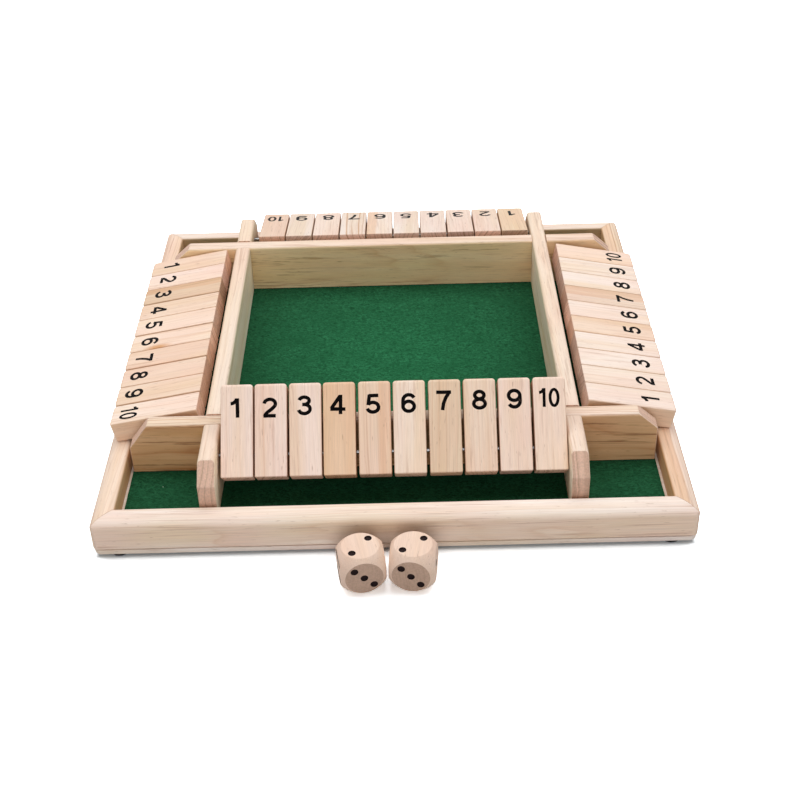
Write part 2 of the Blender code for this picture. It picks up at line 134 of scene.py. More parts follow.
# The height, the width as a share of the height, and the stroke of the numbers 1 to 9, and of 10
DIGIT_SIZE = (11.3 * MM, 0.73, 2.1 * MM)
TEN_SIZE = (11.0 * MM, 1.085, 1.75 * MM)

# How far the numbers lie from the end at each row's tile 1 and tile 10, how far aside, and how unevenly
DIGITS_FROM_END = {
    "front": (14.0 * MM, 12.1 * MM),
    "right": (15.2 * MM, 13.0 * MM),
    "back": (13.4 * MM, 12.6 * MM),
    "left": (14.6 * MM, 10.6 * MM),
}
DIGIT_SHIFT = {"front": -0.3 * MM, "right": 0.1 * MM, "back": 0.0 * MM, "left": -0.2 * MM}
DIGIT_SCATTER = 0.45 * MM
DIGIT_TILT = 1.3

# Dice
DIE_BALL_RADIUS = 16.3 * MM
BALL_SIDES = 96
PIP_RADIUS = 2.1 * MM
PIP_DEPTH = 1.0 * MM
PIP_STRAIGHT = 0.35 * PIP_DEPTH
PIP_FLOOR_ROUND = 0.65 * PIP_DEPTH
PIP_SIDES = 28
PIP_OFFSET = 5.2 * MM
DIE_TURNS = {"left": 9.6, "right": -7.5}
PIP_SHARES = {
    1: ((0, 0),),
    2: ((-1, -1), (1, 1)),
    3: ((-1, 1), (0, 0), (1, -1)),
    4: ((-1, -1), (-1, 1), (1, -1), (1, 1)),
    5: ((-1, -1), (-1, 1), (0, 0), (1, -1), (1, 1)),
    6: ((-1, -1), (-1, 0), (-1, 1), (1, -1), (1, 0), (1, 1)),
}
DIE_FACES = {
    2: Euler((0, 0, 0)),
    5: Euler((math.pi, 0, 0)),
    3: Euler((math.pi / 2, 0, 0)),
    4: Euler((-math.pi / 2, 0, 0)),
    1: Euler((0, math.pi / 2, 0)),
    6: Euler((0, -math.pi / 2, 0)),
}

# Felt: its grid, the depth and width of its nap's swells, and their fractal's fall-off, step and layers
FELT_GRID = 190
FELT_UNEVENNESS = 0.28 * MM
FELT_WAVE = 4.5 * MM
FELT_FRACTAL = (0.7, 2.0, 3)

# Wood tones as the screen shows them
TONES = {
    "rail": (247, 232, 220),
    "honey_rail": (244, 219, 197),
    "warm_rail": (240, 217, 197),
    "board": (243, 230, 219),
    "wall": (243, 223, 204),
    "pale": (247, 231, 219),
    "blush": (247, 229, 215),
    "shell": (238, 222, 209),
    "petal": (238, 216, 200),
    "rose": (248, 223, 207),
    "cream": (250, 229, 211),
    "peach": (241, 214, 191),
    "dusk": (232, 206, 186),
    "straw": (233, 209, 181),
    "bran": (225, 197, 168),
    "tan": (236, 200, 167),
    "die": (235, 207, 187),
}

# Where each kind of piece starts to number the random draws of its wood
SEEDS = {"rail": 11, "board": 31, "wall": 41, "die": 71, "tile": 100}

# What each feature of the wood multiplies its tone by
WOOD_TINTS = {
    "plain": (1.02, 1.03, 1.05),
    "band": (0.90, 0.80, 0.62),
    "blotch": (0.97, 0.86, 0.85),
    "gleam": (1.05, 1.06, 1.06),
    "ring": (0.66, 0.42, 0.25),
    "streak": (0.64, 0.48, 0.40),
    "fleck": (0.48, 0.34, 0.26),
    "scar": (0.42, 0.30, 0.22),
    "knot": (0.66, 0.36, 0.13),
}

# The same for the end grain's early and late wood
PINE_END_TINTS = ((0.82, 0.64, 0.58), (0.38, 0.25, 0.19))
DIE_END_TINTS = ((0.61, 0.53, 0.48), (0.53, 0.45, 0.40))

# And for the two halves of a two-toned piece, whose border bows and blends
TWO_TONE_TINTS = ((1.03, 1.07, 1.10, 1), (0.96, 0.87, 0.78, 1))
TWO_TONE_BOW = 9 * MM
TWO_TONE_BLEND = 0.7 * MM

# The grain's greatest lean in degrees, the pith's distance in millimetres, how far the rings drift, how many
# years they wander, and how many years a knot pushes them aside
GRAIN_LEAN = 2.5
PITH_DISTANCES = (20, 60)
RING_DRIFT = 7 * MM
RING_WANDER = 2.4
KNOT_BULGE = 2.2
KNOT_SQUEEZES = {"X": (0.32, 1, 1), "Y": (1, 0.32, 1), "Z": (1, 1, 0.32)}

AXES = {"X": (1, 0, 0), "Y": (0, 1, 0), "Z": (0, 0, 1)}

# Turns that bring a piece's own X, Y or Z, along which its grain runs, to the Z of the grain's frame
GRAIN_TURNS = {"X": Euler((0, -math.pi / 2, 0)), "Y": Euler((math.pi / 2, 0, 0)), "Z": Euler((0, 0, 0))}

# Each rail's tone, how strongly its rings show, and the painted shade on its inner face
RAIL_LOOKS = {
    "front": ("rail", 0.6, (0.86, 0.77, 0.60)),
    "right": ("warm_rail", 1.4, (0.86, 0.77, 0.60)),
    "back": ("rail", 0.3, (0.70, 0.60, 0.44)),
    "left": ("honey_rail", 0.35, (0.86, 0.77, 0.60)),
}
# Painted shade: the tint of the rails' inner and outer faces
RAIL_SIDE_PAINTED_SHADE = (0.98, 0.94, 0.89)

# How strongly each wall's rings show, how wide they are, the tint of its long sides (painted shade on the
# front wall, painted light on the others), and how torn it is
WALL_LOOKS = {
    "front": (2.2, 2.6 * MM, (0.78, 0.58, 0.37), 0.9),
    "right": (0.8, 4.2 * MM, (1.08, 1.16, 1.13), 0.3),
    "back": (0.9, 5.2 * MM, (1.11, 1.03, 0.76), 0.5),
    "left": (0.5, 3.4 * MM, (1.10, 1.19, 1.13), 0.1),
}

# Each tile's tone with how strongly its rings show, and the tint of its sides: browner sawn wood, and
# painted shade in the gaps between tiles
TILE_LOOKS = {
    "front": (("rose", 0.30), ("rose", 0.60), ("rose", 0.20), ("tan", 0.12), ("peach", 0.70),
              ("cream", 0.60), ("straw", 0.75), ("peach", 0.60), ("rose", 0.20), ("cream", 0.45)),
    "right": (("blush", 0.35), ("blush", 0.45), ("blush", 0.30), ("blush", 0.50), ("peach", 0.45),
              ("blush", 0.30), ("dusk", 0.50), ("blush", 0.35), ("blush", 0.45), ("rose", 0.40)),
    "back": (("straw", 0.20), ("petal", 0.30), ("petal", 0.45), ("shell", 0.20), ("shell", 0.30),
             ("petal", 0.50), ("shell", 3.20), ("petal", 0.40), ("shell", 0.20), ("dusk", 0.20)),
    "left": (("peach", 0.45), ("rose", 0.30), ("bran", 0.40), ("peach", 0.50), ("cream", 0.40),
             ("cream", 0.50), ("peach", 0.40), ("peach", 0.45), ("peach", 0.60), ("cream", 0.55)),
}
TILE_SIDE_TINTS_AND_GAP_SHADE = {
    "front": (0.62, 0.47, 0.36),
    "right": (0.94, 0.86, 0.73),
    "back": (0.70, 0.56, 0.44),
    "left": (0.94, 0.85, 0.73),
}

# Single tiles: towards which side and from where the wood is warmer, how wide the rings are, and how far a
# knot lies from the edge and from the rounded end, with its size
TWO_TONED_TILES = {
    ("front", 5): ((1, 0, 0), 2 * MM),
    ("back", 6): ((1, 0, 0), 3 * MM),
    ("right", 7): ((1, 0, 0), 0),
    ("left", 3): ((-1, 0, 0), 3 * MM),
}
TILE_RING_WIDTH = 2.6 * MM
TILE_RING_WIDTHS = {("back", 7): 4.2 * MM}
TILE_KNOTS = {("left", 6): (1 * MM, 19 * MM, 3.4 * MM)}

# Other tones as the screen shows them, some with a dark and a pale end
FELT_TONE = (31, 99, 61)
LINT_TONE = (170, 200, 175)
INK_TONES = ((3, 2, 3), (15, 11, 12))
WORN_INK_TONE = (120, 96, 84)
PAINT_TONES = ((15, 7, 9), (50, 34, 33))
STEEL_TONES = ((112, 112, 114), (158, 157, 155))
RUBBER_TONES = ((15, 15, 16), (36, 35, 36))

# What the felt's hollows, fibres, flattened spots and fuzz multiply its tone by
FELT_TINTS = ((0.36, 0.52, 0.48), (2.0, 1.52, 1.7), (0.62, 0.74, 0.7), (3.2, 1.9, 2.2))

# Painted shade: the felt darkens towards its rim, between two distances from the middle
FELT_RIM_PAINTED_SHADE = (0.66, 0.58, 0.60, 1)
FELT_PAINTED_SHADE_REACH = (25 * MM, 125 * MM)


def linear(tone):
    """A colour given as the screen shows it, as the shader takes it."""
    low = 0.04045
    shares = [value / 255 for value in tone]
    return tuple(c / 12.92 if c <= low else ((c + 0.055) / 1.055) ** 2.4 for c in shares) + (1,)


def tinted(colour, red, green, blue):
    """A shader colour with each channel multiplied."""
    return (colour[0] * red, colour[1] * green, colour[2] * blue, 1)


class Finish:
    """A material, with short ways to add shader nodes and join them."""

    def __init__(self, name):
        self.material = bpy.data.materials.new(name)
        self.material.use_nodes = True
        self.tree = self.material.node_tree
        self.shader = self.tree.nodes["Principled BSDF"]

    def put(self, socket, value):
        if isinstance(value, bpy.types.NodeSocket):
            self.tree.links.new(value, socket)
        else:
            socket.default_value = value

    def add(self, kind, inputs, output=0, **settings):
        node = self.tree.nodes.new(kind)
        for name, value in settings.items():
            setattr(node, name, value)
        for name, value in inputs.items():
            self.put(node.inputs[name], value)
        return node.outputs[output]

    def coordinates(self, output="Object"):
        return self.add("ShaderNodeTexCoord", {}, output)

    def math(self, operation, first, second=0.0):
        return self.add("ShaderNodeMath", {0: first, 1: second}, operation=operation)

    def times(self, first, second):
        return self.math("MULTIPLY", first, second)

    def vector(self, operation, first, second=(0, 0, 0), output=0):
        return self.add("ShaderNodeVectorMath", {0: first, 1: second}, output, operation=operation)

    def dot(self, first, second):
        return self.vector("DOT_PRODUCT", first, second, 1)

    def length(self, vector, scale=(1, 1, 1)):
        """How long a vector is once each of its parts is scaled."""
        return self.vector("LENGTH", self.vector("MULTIPLY", vector, scale), output=1)

    def mapping(self, vector, place=(0, 0, 0), turn=(0, 0, 0), scale=(1, 1, 1)):
        inputs = {"Vector": vector, "Location": place, "Rotation": turn, "Scale": scale}
        return self.add("ShaderNodeMapping", inputs)

    def noise(self, vector, detail=2.0, rough=0.5, output=0):
        inputs = {"Vector": vector, "Scale": 1.0, "Detail": detail, "Roughness": rough}
        return self.add("ShaderNodeTexNoise", inputs, output)

    def grain(self, vector, across, along, detail=2.0, rough=0.5, output=0):
        """Noise drawn out along Z: so many features to the metre across and along."""
        return self.noise(self.mapping(vector, scale=(across, across, along)), detail, rough, output)

    def speckle(self, vector, count, detail=3.0, rough=0.6, output=0):
        """Even noise: so many features to the metre every way."""
        return self.grain(vector, count, count, detail, rough, output)

    def span(self, value, low, high, out_low=0.0, out_high=1.0):
        """A value stretched from one span to another, held at both ends."""
        inputs = {0: value, 1: low, 2: high, 3: out_low, 4: out_high}
        return self.add("ShaderNodeMapRange", inputs, clamp=True)

    def mix(self, factor, first, second, blend="MIX"):
        inputs = {0: factor, 6: first, 7: second}
        return self.add("ShaderNodeMix", inputs, 2, data_type="RGBA", blend_type=blend)

    def toned(self, colour, tint):
        """A colour multiplied by a tint."""
        return self.mix(1.0, colour, tint, "MULTIPLY")

    def between(self, value, low, high, tones):
        """A colour that goes from one screen tone to another as a value crosses a span."""
        return self.mix(self.span(value, low, high), *(linear(tone) for tone in tones))

    def ramp(self, value, *stops):
        """A curve of grey levels: (place, level) stops."""
        node = self.tree.nodes.new("ShaderNodeValToRGB")
        elements = node.color_ramp.elements
        while len(elements) < len(stops):
            elements.new(0.5)
        for element, (place, level) in zip(elements, stops):
            element.position = place
            element.color = (level, level, level, 1)
        self.put(node.inputs[0], value)
        return node.outputs[0]

    def bump(self, height, strength, distance):
        inputs = {"Height": height, "Strength": strength, "Distance": distance}
        self.put(self.shader.inputs["Normal"], self.add("ShaderNodeBump", inputs))

    def surface(self, **sockets):
        for name, value in sockets.items():
            self.put(self.shader.inputs[name.replace("_", " ").title()], value)

    def cover(self, colour, texture, smooth, rough):
        """The surface's colour, and the span of its roughness, which follows a texture."""
        self.surface(base_color=colour, roughness=self.span(texture, 0.3, 0.7, smooth, rough))

    def dull(self, level):
        """Less mirror shine than the shader's own."""
        self.shader.inputs["Specular IOR Level"].default_value = level


def facing_share(finish, axis):
    """How squarely a face points along one of its piece's own axes, either way."""
    return finish.math("ABSOLUTE", finish.dot(finish.coordinates("Normal"), axis))


def toned_where(finish, share, colour, tint):
    """A colour multiplied by a tint on the faces that point squarely enough."""
    return finish.mix(finish.span(share, 0.6, 0.95), colour, finish.toned(colour, tint + (1,)))


def grain_frame(finish, own, along, draw, pith_side):
    """Coordinates with the grain along Z, leaning a little, and the tree's pith at the origin."""
    lean = Euler([math.radians(draw.uniform(-GRAIN_LEAN, GRAIN_LEAN)) for axis in range(2)] + [0])
    turn = (lean.to_matrix() @ GRAIN_TURNS[along].to_matrix()).to_euler()
    angle = draw.uniform(0, 2 * math.pi) if pith_side is None else pith_side + draw.uniform(-0.6, 0.6)
    distance = draw.uniform(*PITH_DISTANCES) * MM
    pith = (distance * math.cos(angle), distance * math.sin(angle), draw.uniform(0, 5))
    return finish.mapping(own, pith, turn)


def knot_share(finish, own, along, knots):
    """How deep a point lies in a knot. Each has a place and a size, and is drawn out along the grain."""
    total = None
    for place, size in knots:
        distance = finish.length(finish.vector("SUBTRACT", own, place), KNOT_SQUEEZES[along])
        share = finish.span(distance, size * 0.25, size, 1, 0)
        total = share if total is None else finish.math("MAXIMUM", total, share)
    return total


def growth_rings(finish, wood, drift, knot, ring_width, layer):
    """How dark the late wood of the rings is, on the long faces and on the ends."""
    bent = finish.vector("MULTIPLY_ADD", drift, (RING_DRIFT,) * 3)
    finish.put(bent.node.inputs[2], wood)
    radius = finish.length(bent, (1, 1, 0))
    if knot is not None:
        radius = finish.math("ADD", radius, finish.times(knot, KNOT_BULGE * ring_width))
    years = finish.math("DIVIDE", radius, ring_width)
    wander = finish.noise(finish.add("ShaderNodeCombineXYZ", {0: years, 1: layer}), 1)
    years = finish.math("ADD", years, finish.times(wander, RING_WANDER))
    year = finish.math("FLOOR", years)
    growth = finish.add("ShaderNodeTexWhiteNoise", {"W": year}, noise_dimensions="1D")
    late = finish.ramp(finish.math("FRACT", years),
                       (0, 0.30), (0.12, 0.02), (0.55, 0.1), (0.82, 0.6), (0.93, 1), (1, 0.30))
    on_ends = finish.times(late, finish.span(growth, 0, 1, 0.55, 1))
    faint = finish.span(finish.grain(wood, 70, 7), 0.35, 0.65, 0.25, 1)
    on_faces = finish.times(finish.times(late, faint), finish.span(growth, 0, 1, 0.2, 1))
    return on_faces, on_ends


def pine(name, tone, along, seed, figure=0.3, knots=(), ring_width=3.4 * MM, streaks=0.5, side_tone_and_painted_light=None,
         end_from=0.8, banding=0.6, end_tints=PINE_END_TINTS, pith_side=None, scars=0.0, two_tone=None,
         inner_painted_shade=None, end_scatter=0.0):
    """Planed wood: uneven growth rings round a far pith, bands, streaks, flecks, fibres and end grain; tints
    on chosen faces paint light and shade.
    """
    draw = random.Random(seed)
    finish = Finish(name)
    light = linear(TONES[tone])
    own = finish.coordinates()
    wood = grain_frame(finish, own, along, draw, pith_side)
    drift = finish.vector("SUBTRACT", finish.grain(wood, 36, 9, 3, 0.5, 1), (0.5,) * 3)
    knot = knot_share(finish, own, along, knots)
    ring, end_ring = growth_rings(finish, wood, drift, knot, ring_width, draw.uniform(0, 50))

    bands = finish.span(finish.grain(wood, 95, 5, 3), 0.38, 0.64)
    blotches = finish.span(finish.grain(wood, 34, 14, 2), 0.42, 0.64)
    fibres = finish.grain(wood, 1700, 40, 3, 0.6)
    strand = finish.grain(wood, 620, 13, 3, 0.65)
    streak = finish.span(strand, 0.58, 0.70)
    gleam = finish.span(strand, 0.30, 0.42, 1, 0)
    fleck = finish.span(finish.grain(wood, 1300, 150, 2), 0.66, 0.76)

    def lay(colour, feature, mask, share):
        return finish.mix(finish.times(mask, share), colour, tinted(light, *WOOD_TINTS[feature]))

    colour = lay(tinted(light, *WOOD_TINTS["plain"]), "band", bands, banding)
    colour = lay(colour, "blotch", blotches, banding)
    if two_tone is not None:
        across, border = two_tone
        bowed = finish.vector("ADD", own, finish.vector("MULTIPLY", drift, (TWO_TONE_BOW,) * 3))
        warmer = finish.span(finish.dot(bowed, across), border - TWO_TONE_BLEND, border + TWO_TONE_BLEND)
        colour = finish.toned(colour, finish.mix(warmer, *TWO_TONE_TINTS))
    colour = lay(colour, "gleam", gleam, 0.5)
    colour = lay(colour, "ring", ring, figure)
    colour = lay(colour, "streak", streak, streaks * 0.8)
    colour = lay(colour, "fleck", fleck, 0.55)
    if scars:
        torn = finish.span(finish.grain(wood, 420, 14, 4, 0.7), 0.57, 0.63)
        where = finish.span(finish.grain(wood, 110, 8, 2), 0.42, 0.54)
        colour = lay(colour, "scar", finish.times(torn, where), scars)
    colour = finish.toned(colour, finish.span(fibres, 0.3, 0.7, 0.92, 1.05))
    if knot is not None:
        colour = lay(colour, "knot", knot, 0.85)
    # The sides' tint: painted light and shade, on tiles also the browner sawn wood
    if side_tone_and_painted_light is not None:
        side_axis, tint = side_tone_and_painted_light
        colour = toned_where(finish, facing_share(finish, side_axis), colour, tint)
    # Painted shade on the inner face
    if inner_painted_shade is not None:
        inwards = finish.dot(finish.coordinates("Normal"), AXES["Y"])
        colour = toned_where(finish, inwards, colour, inner_painted_shade)

    end_grain = finish.span(facing_share(finish, AXES[along]), end_from, end_from + 0.1, 0, 0.92)
    pores = finish.span(finish.speckle(wood, 900), 0.35, 0.65, 0.86, 1.08)
    level = 1 + draw.uniform(-end_scatter, end_scatter)
    early, late = (tinted(light, *(level * share for share in tint)) for tint in end_tints)
    colour = finish.mix(end_grain, colour, finish.toned(finish.mix(end_ring, early, late), pores))
    relief = finish.math("ADD", finish.times(fibres, 0.6), finish.times(ring, -0.5))
    finish.bump(relief, 0.35, 0.06 * MM)
    finish.cover(colour, fibres, 0.5, 0.62)
    return finish.material


def felt():
    """Green needled felt: tangled short fibres, a mottled nap, a few pale specks of lint, and painted shade
    towards its rim.
    """
    finish = Finish("green_felt")
    own = finish.coordinates()
    bend = finish.vector("MULTIPLY", finish.speckle(own, 260, 2, 0.5, 1), (5 * MM,) * 3)
    tangled = finish.vector("ADD", own, bend)
    fibres = finish.noise(finish.mapping(tangled, scale=(420, 900, 600)), 4, 0.7)
    fuzz = finish.speckle(own, 1300)
    nap = finish.noise(finish.mapping(own, scale=(38, 60, 50)), 3, 0.6)
    base = linear(FELT_TONE)
    hollow, fibre, flattened, fuzzy = (tinted(base, *tint) for tint in FELT_TINTS)
    colour = finish.mix(finish.span(fibres, 0.38, 0.62), hollow, fibre)
    colour = finish.mix(finish.span(nap, 0.38, 0.64, 0, 0.45), colour, flattened)
    colour = finish.mix(finish.span(fuzz, 0.58, 0.72, 0, 0.6), colour, fuzzy)
    # Painted shade, deepening towards the rim
    painted_shade_rimward = finish.span(finish.length(own, (1, 1, 0)), *FELT_PAINTED_SHADE_REACH, 0, 0.9)
    colour = finish.mix(painted_shade_rimward, colour, finish.toned(colour, FELT_RIM_PAINTED_SHADE))
    cells = finish.tree.nodes.new("ShaderNodeTexVoronoi")
    finish.put(cells.inputs["Vector"], own)
    cells.inputs["Scale"].default_value = 60
    near = finish.math("LESS_THAN", cells.outputs["Distance"], 0.022)
    chosen = finish.math("GREATER_THAN", finish.dot(cells.outputs["Color"], (1, 0, 0)), 0.82)
    lint = finish.times(near, chosen)
    colour = finish.mix(finish.times(lint, 0.8), colour, linear(LINT_TONE))
    relief = finish.math("ADD", fibres, finish.times(fuzz, 0.7))
    finish.bump(relief, 0.8, 0.35 * MM)
    finish.cover(colour, fuzz, 0.85, 1.0)
    finish.dull(0.1)
    return finish.material


def ink():
    """Black stamping ink, worn through in a few small spots."""
    finish = Finish("stamped_ink")
    own = finish.coordinates()
    grainy = finish.speckle(own, 1300)
    worn = finish.span(finish.speckle(own, 420, 2, 0.5), 0.69, 0.76, 0, 0.6)
    colour = finish.between(grainy, 0.35, 0.7, INK_TONES)
    colour = finish.mix(finish.times(worn, 0.6), colour, linear(WORN_INK_TONE))
    finish.cover(colour, grainy, 0.24, 0.40)
    finish.dull(0.03)
    return finish.material


def pip_paint():
    """Black paint in the drilled pips, unevenly laid."""
    finish = Finish("pip_paint")
    grainy = finish.speckle(finish.coordinates(), 1500)
    colour = finish.between(grainy, 0.3, 0.7, PAINT_TONES)
    finish.cover(colour, grainy, 0.3, 0.5)
    finish.dull(0.06)
    return finish.material


def steel():
    """Bright drawn steel rod with faint lines along it."""
    finish = Finish("bright_steel")
    lines = finish.grain(finish.coordinates(), 3000, 60)
    colour = finish.between(lines, 0.3, 0.7, STEEL_TONES)
    finish.bump(lines, 0.2, 0.02 * MM)
    finish.cover(colour, lines, 0.18, 0.34)
    finish.surface(metallic=1.0)
    return finish.material


def rubber():
    """Matt black rubber."""
    finish = Finish("black_rubber")
    pores = finish.speckle(finish.coordinates(), 1400)
    colour = finish.between(pores, 0.3, 0.7, RUBBER_TONES)
    finish.bump(pores, 0.4, 0.08 * MM)
    finish.cover(colour, pores, 0.7, 0.9)
    return finish.material


def arc(centre, radius_x, radius_y, start, end, steps):
    """Points along an elliptic arc, angles in degrees, both ends included."""
    angles = [math.radians(start + (end - start) * step / steps) for step in range(steps + 1)]
    return [(centre[0] + radius_x * math.cos(a), centre[1] + radius_y * math.sin(a)) for a in angles]


def ring(centre, radius_x, radius_y, steps=28, start=0):
    """Points round an ellipse, the first one not repeated."""
    return arc(centre, radius_x, radius_y, start, start + 360, steps)[:-1]


def add_object(name, data):
    obj = bpy.data.objects.new(name, data)
    bpy.context.scene.collection.objects.link(obj)
    return obj


def to_mesh(bm, name, materials=(), material_index=0):
    """A mesh made from a bmesh, which it frees, with every face on one of the materials."""
    bmesh.ops.recalc_face_normals(bm, faces=bm.faces)
    mesh = bpy.data.meshes.new(name)
    for face in bm.faces:
        face.material_index = material_index
    bm.to_mesh(mesh)
    bm.free()
    for material in materials:
        mesh.materials.append(material)
    return mesh


def add_piece(node, stuff, mesh, place, body, materials):
    """The finished piece that stands for a CAD node, riding on its body."""
    mesh.shade_smooth()
    mesh.set_sharp_from_angle(angle=math.radians(SHARP_ANGLE))
    obj = add_object(f"{node}_{stuff}", mesh)
    while len(mesh.materials) < len(materials):
        mesh.materials.append(None)
    for index, material in enumerate(materials):
        obj.material_slots[index].link = "OBJECT"
        obj.material_slots[index].material = material
    obj.matrix_world = place
    even = obj.modifiers.new("even_shading", "WEIGHTED_NORMAL")
    even.keep_sharp = True
    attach(obj, body)
    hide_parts(node)
    return obj


def carve(mesh, cutters, operation="DIFFERENCE"):
    """The mesh with closed shapes cut out of it, or with only what lies inside them kept."""
    body = add_object("carved", mesh)
    helpers = [add_object("cutter", cutter) for cutter in cutters]
    for helper in helpers:
        boolean = body.modifiers.new("carve", "BOOLEAN")
        boolean.operation = operation
        boolean.object = helper
    bpy.context.view_layer.update()
    graph = bpy.context.evaluated_depsgraph_get()
    result = bpy.data.meshes.new_from_object(body.evaluated_get(graph))
    for obj in (body, *helpers):
        bpy.data.objects.remove(obj)
    return result


def draw_out(bm, face, offset):
    """Extrude a face and move what that adds."""
    drawn = bmesh.ops.extrude_face_region(bm, geom=[face])["geom"]
    moved = [part for part in drawn if isinstance(part, bmesh.types.BMVert)]
    bmesh.ops.translate(bm, verts=moved, vec=offset)


def prism(outline, offset):
    """A closed solid: a flat outline of points drawn out by an offset."""
    bm = bmesh.new()
    draw_out(bm, bm.faces.new([bm.verts.new(point) for point in outline]), offset)
    return bm


def round_edges(bm, edges, radius, segments):
    bmesh.ops.bevel(bm, geom=edges, offset=radius, segments=segments, profile=0.5, affect="EDGES")


def cylinder(radius, length, sides, matrix):
    bm = bmesh.new()
    bmesh.ops.create_cone(bm, cap_ends=True, segments=sides, radius1=radius, radius2=radius, depth=length,
                          matrix=matrix)
    return bm


def lathe(profile, sides):
    """A profile of (radius, height) points, both ends on the axis, turned round Z."""
    bm = bmesh.new()
    points = [bm.verts.new((radius, 0, height)) for radius, height in profile]
    edges = [bm.edges.new(pair) for pair in zip(points, points[1:])]
    bmesh.ops.spin(bm, geom=points + edges, cent=(0, 0, 0), axis=(0, 0, 1), angle=2 * math.pi, steps=sides,
                   use_merge=True)
    bmesh.ops.remove_doubles(bm, verts=bm.verts, dist=1e-7)
    return bm


def slice_off(bm, point, normal):
    """Cut away what lies beyond a plane and close the cut."""
    everything = list(bm.verts) + list(bm.edges) + list(bm.faces)
    cut = bmesh.ops.bisect_plane(bm, geom=everything, plane_co=point, plane_no=normal, clear_outer=True)
    rim = [part for part in cut["geom_cut"] if isinstance(part, bmesh.types.BMEdge)]
    bmesh.ops.edgeloop_fill(bm, edges=rim)


# Frames of the four sides: X along the side, -Y outwards, Z up, from the middle of the tray
board_low, board_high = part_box("base_board")
tray_middle = (board_low + board_high) / 2
side_frames = {}
for quarter, side in enumerate(SIDES):
    middle = Matrix.Translation((tray_middle.x, tray_middle.y, 0))
    side_frames[side] = middle @ Matrix.Rotation(quarter * math.pi / 2, 4, "Z")


def local_box(node, place):
    """A CAD node's lowest and highest corners in a frame of its own."""
    inverse = place.inverted()
    points = [inverse @ vertex.co for vertex in nodes[node].data.vertices]
    return [Vector([pick(point[axis] for point in points) for axis in range(3)]) for pick in (min, max)]


def side_box(node, side):
    """The same in the frame of the side that the node belongs to."""
    return local_box(node, side_frames[side])


# Shared places, read from the frame
wall_low, wall_high = side_box("wall_front", "front")
rail_low, rail_high = side_box("rail_front", "front")
WALL_THICKNESS = wall_high.y - wall_low.y
WALL_MIDDLE = -(wall_high.y + wall_low.y) / 2
WALL_END = wall_high.x
RAIL_OUTER = -rail_low.y
RAIL_INNER = -rail_high.y
rod_place = side_frames["front"].inverted() @ Vector(hinges["tile_front_01"]["pos_m"])
ROD_DISTANCE = -rod_place.y
ROD_Z = rod_place.z
rod_low, rod_high = side_box("pivot_rod_front", "front")
BORE_RADIUS = (rod_high.z - rod_low.z) / 2 + ROD_BORE_GAP
BORE_END = rod_high.x + ROD_BORE_GAP


def rail_mesh(low, high):
    """A moulded rail along X: rounded crown, eased foot, mitred ends, the tray's corner rounded."""
    height = high.z - low.z
    width = high.y - low.y
    section = arc((RAIL_FOOT_ROUND, RAIL_FOOT_ROUND), RAIL_FOOT_ROUND, RAIL_FOOT_ROUND, 270, 180, 4)
    section += arc((RAIL_ROUND_WIDTH, height - RAIL_ROUND_HEIGHT), RAIL_ROUND_WIDTH, RAIL_ROUND_HEIGHT,
                   180, 90, 16)
    section += arc((width - RAIL_INNER_ROUND, height - RAIL_INNER_ROUND), RAIL_INNER_ROUND, RAIL_INNER_ROUND,
                   90, 0, 6)
    section.append((width, 0))
    reach = RAIL_OUTER + OVERRUN
    bm = prism([(-reach, low.y + inward, low.z + up) for inward, up in section], (2 * reach, 0, 0))
    corner = RAIL_OUTER - CORNER_RADIUS
    for end in (-1, 1):
        slice_off(bm, (0, -MITRE_GAP, 0), (end, 1, 0))
        for angle in CORNER_CUTS:
            normal = Vector((end * math.sin(math.radians(angle)), -math.cos(math.radians(angle)), 0))
            slice_off(bm, Vector((end * corner, -corner, 0)) + CORNER_RADIUS * normal, normal)
    return to_mesh(bm, "rail")


def build_rails():
    """Four rails, the right one with a warmer inner half."""
    inner_half = (AXES["Y"], -(RAIL_OUTER + RAIL_INNER) / 2)
    for order, side in enumerate(SIDES):
        node = f"rail_{side}"
        low, high = side_box(node, side)
        tone, figure, inner_painted_shade = RAIL_LOOKS[side]
        # The inner face's tint, and the tint on both long faces, are painted shade
        wood = pine(f"pine_{node}", tone, "X", SEEDS["rail"] + order, figure, ring_width=3.0 * MM,
                    streaks=0.9, side_tone_and_painted_light=(AXES["Y"], RAIL_SIDE_PAINTED_SHADE), banding=0.7, pith_side=0.8,
                    two_tone=inner_half if side == "right" else None, inner_painted_shade=inner_painted_shade)
        add_piece(node, "wood", rail_mesh(low, high), side_frames[side], "tray", (wood,))


def build_board():
    """One board: a thin flange under the rails and a raised centre that carries the felt."""
    low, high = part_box("base_board")
    size = high - low
    raised = 2 * RAIL_INNER - 2 * LAP_GAP
    bm = bmesh.new()
    bmesh.ops.create_cube(bm, size=1, matrix=Matrix.Diagonal((size.x, size.y, FLANGE_THICKNESS, 1)))
    top = max(bm.faces, key=lambda face: face.calc_center_median().z)
    bmesh.ops.inset_region(bm, faces=[top], thickness=(size.x - raised) / 2, use_even_offset=True)
    draw_out(bm, top, (0, 0, size.z - FLANGE_THICKNESS))
    bmesh.ops.delete(bm, geom=[top], context="FACES_ONLY")
    corners = [edge for edge in bm.edges
               if edge.verts[0].co.xy == edge.verts[1].co.xy and abs(edge.verts[0].co.x) > raised / 2]
    round_edges(bm, corners, CORNER_RADIUS, 6)
    rims = [edge for edge in bm.edges if abs(edge.calc_face_angle(0) - math.pi / 2) < 0.1
            and abs(edge.verts[0].co.z - edge.verts[1].co.z) < BOARD_EASE
            and max(abs(edge.verts[0].co.x), abs(edge.verts[0].co.y)) > raised / 2 + BOARD_EASE]
    round_edges(bm, rims, BOARD_EASE, 2)
    place = Matrix.Translation((tray_middle.x, tray_middle.y, low.z + FLANGE_THICKNESS / 2))
    wood = pine("pine_board", "board", "X", SEEDS["board"], 0.35)
    add_piece("base_board", "wood", to_mesh(bm, "board"), place, "tray", (wood,))


